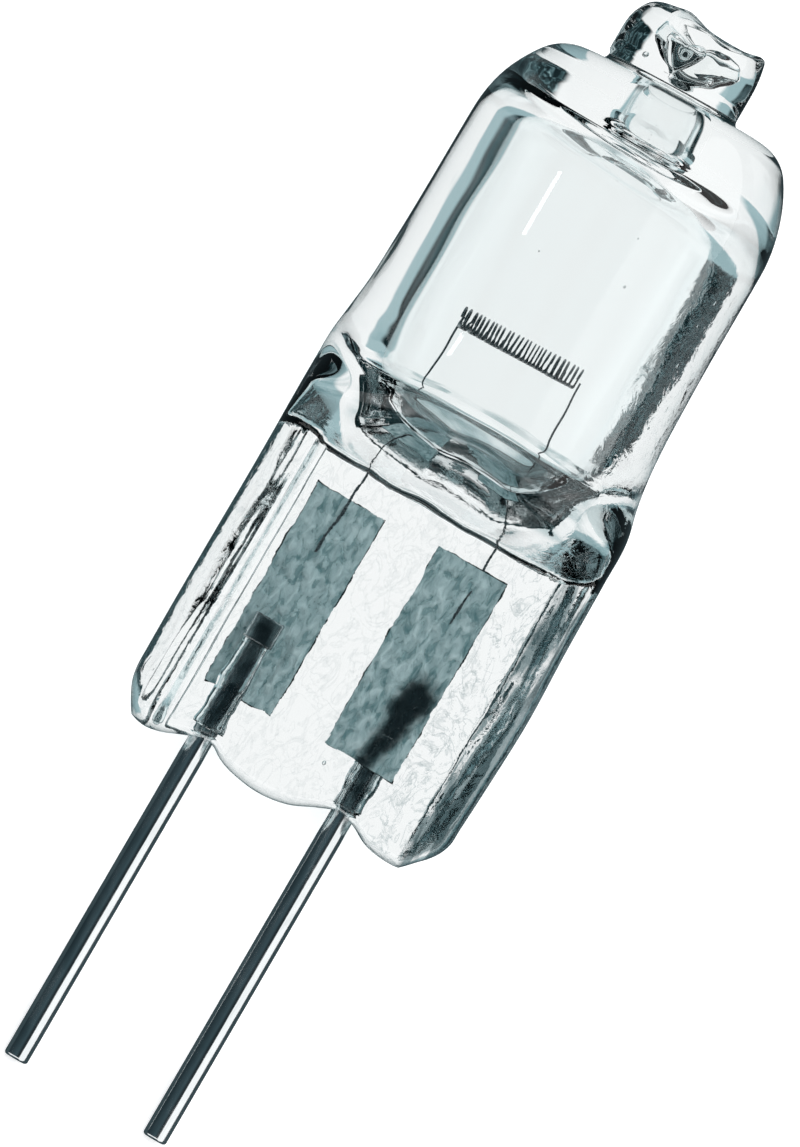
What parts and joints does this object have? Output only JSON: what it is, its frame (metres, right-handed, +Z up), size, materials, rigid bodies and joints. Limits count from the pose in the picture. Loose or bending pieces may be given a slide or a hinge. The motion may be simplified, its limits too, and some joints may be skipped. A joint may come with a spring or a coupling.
{
  "type": "halogen capsule bulb",
  "caption": "Clear two-pin halogen capsule: blown bulb with exhaust tip, coiled filament inside, pressed pinch seal with embedded foils and straight contact pins.",
  "frame": {"origin": "under the middle of the lamp's box, on the surface that it lies on", "axes": "+Y from the pins towards the exhaust tip, +X from the left pin to the right one, +Z up; the lamp's own axis rises 11 degrees above +Y"},
  "size_m": [0.0092, 0.0306, 0.0095],
  "materials": {
    "clear_glass": "fire-polished clear quartz glass",
    "tungsten_wire": "drawn grey wire",
    "molybdenum_foil": "thin crinkled foil",
    "pin_metal": "bright drawn wire"
  },
  "bodies": {
    "root": {"glass_envelope": "clear_glass", "filament": "tungsten_wire", "foil_left": "molybdenum_foil", "foil_right": "molybdenum_foil", "contact_pin_left": "pin_metal", "contact_pin_right": "pin_metal"}
  },
  "joints": []
}
